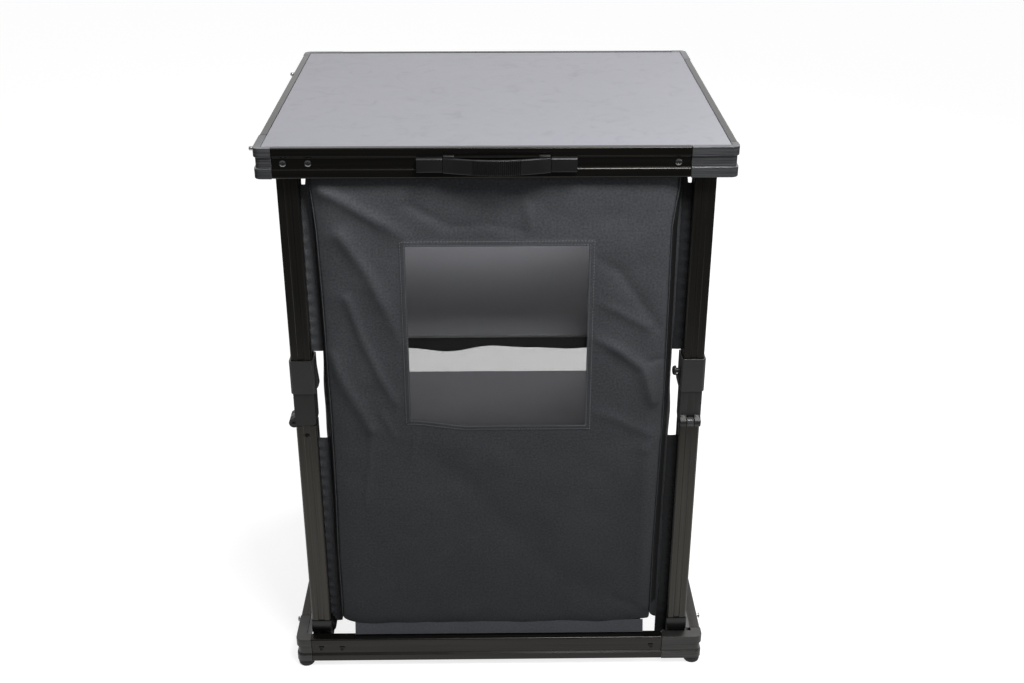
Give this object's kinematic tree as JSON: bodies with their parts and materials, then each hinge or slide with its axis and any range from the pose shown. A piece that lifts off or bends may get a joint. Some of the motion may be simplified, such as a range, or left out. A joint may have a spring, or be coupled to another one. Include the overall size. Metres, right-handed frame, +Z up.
{
  "type": "camp kitchen organizer",
  "caption": "Suitcase-style folding camp cupboard: laminate worktop on an aluminium frame, hinged square legs, and a fabric cupboard with shelves and a net window.",
  "frame": {"origin": "middle of the bounding box's bottom face, on the ground under the feet", "axes": "+Z up, -Y towards the side with the carry handle and the net window, +Y towards the open side, +X to the right seen from the handle side"},
  "size_m": [0.624, 0.5384, 0.8],
  "materials": {
    "frame_rail": "black anodised, satin",
    "corner_cap": "moulded, fine texture",
    "foot_rubber": "moulded",
    "bright_steel": "bright zinc plated",
    "worktop_laminate": "satin grey laminate on fibreboard",
    "leg_tube": "black anodised, satin",
    "hinge_moulding": "moulded, fine texture",
    "handle_moulding": "moulded, ribbed",
    "cupboard_cloth": "coated polyester plain weave",
    "window_net": "fine knitted net",
    "floor_lining": "coated polyester plain weave",
    "shelf_board": "cloth covered fibreboard"
  },
  "bodies": {
    "base": {"base_rail_front": "frame_rail", "base_rail_right": "frame_rail", "base_rail_rear": "frame_rail", "base_rail_left": "frame_rail", "base_corner_front_left": "corner_cap", "base_corner_front_right": "corner_cap", "base_corner_rear_right": "corner_cap", "base_corner_rear_left": "corner_cap", "foot_front_left": "foot_rubber", "foot_front_right": "foot_rubber", "foot_rear_right": "foot_rubber", "foot_rear_left": "foot_rubber", "base_stud_left": "bright_steel", "base_stud_right": "bright_steel", "near_panel": "cupboard_cloth", "window_mesh": "window_net", "side_panel_left": "cupboard_cloth", "side_panel_right": "cupboard_cloth", "door_roll": "cupboard_cloth", "floor_cloth": "floor_lining"},
    "lower_leg_front_left": {"lower_tube_front_left": "leg_tube", "lower_knuckle_front_left": "hinge_moulding"},
    "upper_leg_front_left": {"upper_tube_front_left": "leg_tube", "hinge_housing_front_left": "hinge_moulding"},
    "sleeve_front_left": {"lock_sleeve_front_left": "hinge_moulding"},
    "knob_front_left": {"release_knob_front_left": "hinge_moulding"},
    "lower_leg_front_right": {"lower_tube_front_right": "leg_tube", "lower_knuckle_front_right": "hinge_moulding"},
    "upper_leg_front_right": {"upper_tube_front_right": "leg_tube", "hinge_housing_front_right": "hinge_moulding"},
    "sleeve_front_right": {"lock_sleeve_front_right": "hinge_moulding"},
    "knob_front_right": {"release_knob_front_right": "hinge_moulding"},
    "lower_leg_rear_right": {"lower_tube_rear_right": "leg_tube", "lower_knuckle_rear_right": "hinge_moulding"},
    "upper_leg_rear_right": {"upper_tube_rear_right": "leg_tube", "hinge_housing_rear_right": "hinge_moulding"},
    "sleeve_rear_right": {"lock_sleeve_rear_right": "hinge_moulding"},
    "knob_rear_right": {"release_knob_rear_right": "hinge_moulding"},
    "lower_leg_rear_left": {"lower_tube_rear_left": "leg_tube", "lower_knuckle_rear_left": "hinge_moulding"},
    "upper_leg_rear_left": {"upper_tube_rear_left": "leg_tube", "hinge_housing_rear_left": "hinge_moulding"},
    "sleeve_rear_left": {"lock_sleeve_rear_left": "hinge_moulding"},
    "knob_rear_left": {"release_knob_rear_left": "hinge_moulding"},
    "top": {"top_rail_front": "frame_rail", "top_rail_right": "frame_rail", "top_rail_rear": "frame_rail", "top_rail_left": "frame_rail", "top_corner_front_left": "corner_cap", "top_corner_front_right": "corner_cap", "top_corner_rear_right": "corner_cap", "top_corner_rear_left": "corner_cap", "worktop": "worktop_laminate", "side_peg_front": "bright_steel", "side_peg_rear": "bright_steel", "handle_end_left": "handle_moulding", "handle_end_right": "handle_moulding"},
    "handle": {"handle_grip": "handle_moulding"},
    "upper_shelf": {"upper_shelf": "shelf_board"},
    "lower_shelf": {"lower_shelf": "shelf_board"}
  },
  "joints": [
    {"name": "fold", "type": "hinge", "parent": "base", "child": "lower_leg_front_left", "pos_m": [-0.259, -0.2114, 0.033], "axis": [0, 1, 0], "range_deg": [0, 90], "deforming": ["near_panel", "window_mesh", "side_panel_left", "side_panel_right", "door_roll", "floor_cloth"]},
    {"name": "elbow_front_left", "type": "hinge", "parent": "lower_leg_front_left", "child": "upper_leg_front_left", "pos_m": [-0.2755, -0.2114, 0.405], "axis": [0, 1, 0], "range_deg": [-180, 0]},
    {"name": "leg_front_right", "type": "hinge", "parent": "base", "child": "lower_leg_front_right", "pos_m": [0.267, -0.2114, 0.033], "axis": [-1, 0, 0], "range_deg": [0, 90]},
    {"name": "elbow_front_right", "type": "hinge", "parent": "lower_leg_front_right", "child": "upper_leg_front_right", "pos_m": [0.267, -0.2279, 0.405], "axis": [-1, 0, 0], "range_deg": [-180, 0]},
    {"name": "leg_rear_right", "type": "hinge", "parent": "base", "child": "lower_leg_rear_right", "pos_m": [0.267, 0.2366, 0.033], "axis": [0, -1, 0], "range_deg": [0, 90]},
    {"name": "elbow_rear_right", "type": "hinge", "parent": "lower_leg_rear_right", "child": "upper_leg_rear_right", "pos_m": [0.2835, 0.2366, 0.405], "axis": [0, -1, 0], "range_deg": [-180, 0]},
    {"name": "leg_rear_left", "type": "hinge", "parent": "base", "child": "lower_leg_rear_left", "pos_m": [-0.259, 0.2366, 0.033], "axis": [1, 0, 0], "range_deg": [0, 90]},
    {"name": "elbow_rear_left", "type": "hinge", "parent": "lower_leg_rear_left", "child": "upper_leg_rear_left", "pos_m": [-0.259, 0.2531, 0.405], "axis": [1, 0, 0], "range_deg": [-180, 0]},
    {"name": "top_level", "type": "hinge", "parent": "upper_leg_front_left", "child": "top", "pos_m": [-0.259, -0.2114, 0.777], "axis": [0, 1, 0], "range_deg": [0, 90]},
    {"name": "upper_shelf_drop", "type": "slide", "parent": "base", "child": "upper_shelf", "axis": [0, 0, -1], "range_m": [0, 0.4535]},
    {"name": "lower_shelf_drop", "type": "slide", "parent": "base", "child": "lower_shelf", "axis": [0, 0, -1], "range_m": [0, 0.2085]},
    {"name": "sleeve_lift_front_left", "type": "slide", "parent": "upper_leg_front_left", "child": "sleeve_front_left", "axis": [0, 0, 1], "range_m": [0, 0.022]},
    {"name": "knob_press_front_left", "type": "slide", "parent": "sleeve_front_left", "child": "knob_front_left", "axis": [0, -1, 0], "range_m": [0, 0.004], "stiffness_N_per_m": 300, "springref_m": -0.002},
    {"name": "sleeve_lift_front_right", "type": "slide", "parent": "upper_leg_front_right", "child": "sleeve_front_right", "axis": [0, 0, 1], "range_m": [0, 0.022]},
    {"name": "knob_press_front_right", "type": "slide", "parent": "sleeve_front_right", "child": "knob_front_right", "axis": [1, 0, 0], "range_m": [0, 0.004], "stiffness_N_per_m": 300, "springref_m": -0.002},
    {"name": "sleeve_lift_rear_right", "type": "slide", "parent": "upper_leg_rear_right", "child": "sleeve_rear_right", "axis": [0, 0, 1], "range_m": [0, 0.022]},
    {"name": "knob_press_rear_right", "type": "slide", "parent": "sleeve_rear_right", "child": "knob_rear_right", "axis": [0, 1, 0], "range_m": [0, 0.004], "stiffness_N_per_m": 300, "springref_m": -0.002},
    {"name": "sleeve_lift_rear_left", "type": "slide", "parent": "upper_leg_rear_left", "child": "sleeve_rear_left", "axis": [0, 0, 1], "range_m": [0, 0.022]},
    {"name": "knob_press_rear_left", "type": "slide", "parent": "sleeve_rear_left", "child": "knob_rear_left", "axis": [-1, 0, 0], "range_m": [0, 0.004], "stiffness_N_per_m": 300, "springref_m": -0.002},
    {"name": "handle_pull", "type": "slide", "parent": "top", "child": "handle", "axis": [0, -1, 0], "range_m": [0, 0.0035]}
  ],
  "couplings": [
    {"joint": "elbow_front_left", "follows": "fold", "ratio": -2},
    {"joint": "leg_front_right", "follows": "fold", "ratio": 1},
    {"joint": "elbow_front_right", "follows": "fold", "ratio": -2},
    {"joint": "leg_rear_right", "follows": "fold", "ratio": 1},
    {"joint": "elbow_rear_right", "follows": "fold", "ratio": -2},
    {"joint": "leg_rear_left", "follows": "fold", "ratio": 1},
    {"joint": "elbow_rear_left", "follows": "fold", "ratio": -2},
    {"joint": "top_level", "follows": "fold", "ratio": 1},
    {"joint": "upper_shelf_drop", "follows": "fold", "m_per_rad": 0.2884},
    {"joint": "lower_shelf_drop", "follows": "fold", "m_per_rad": 0.1324}
  ]
}
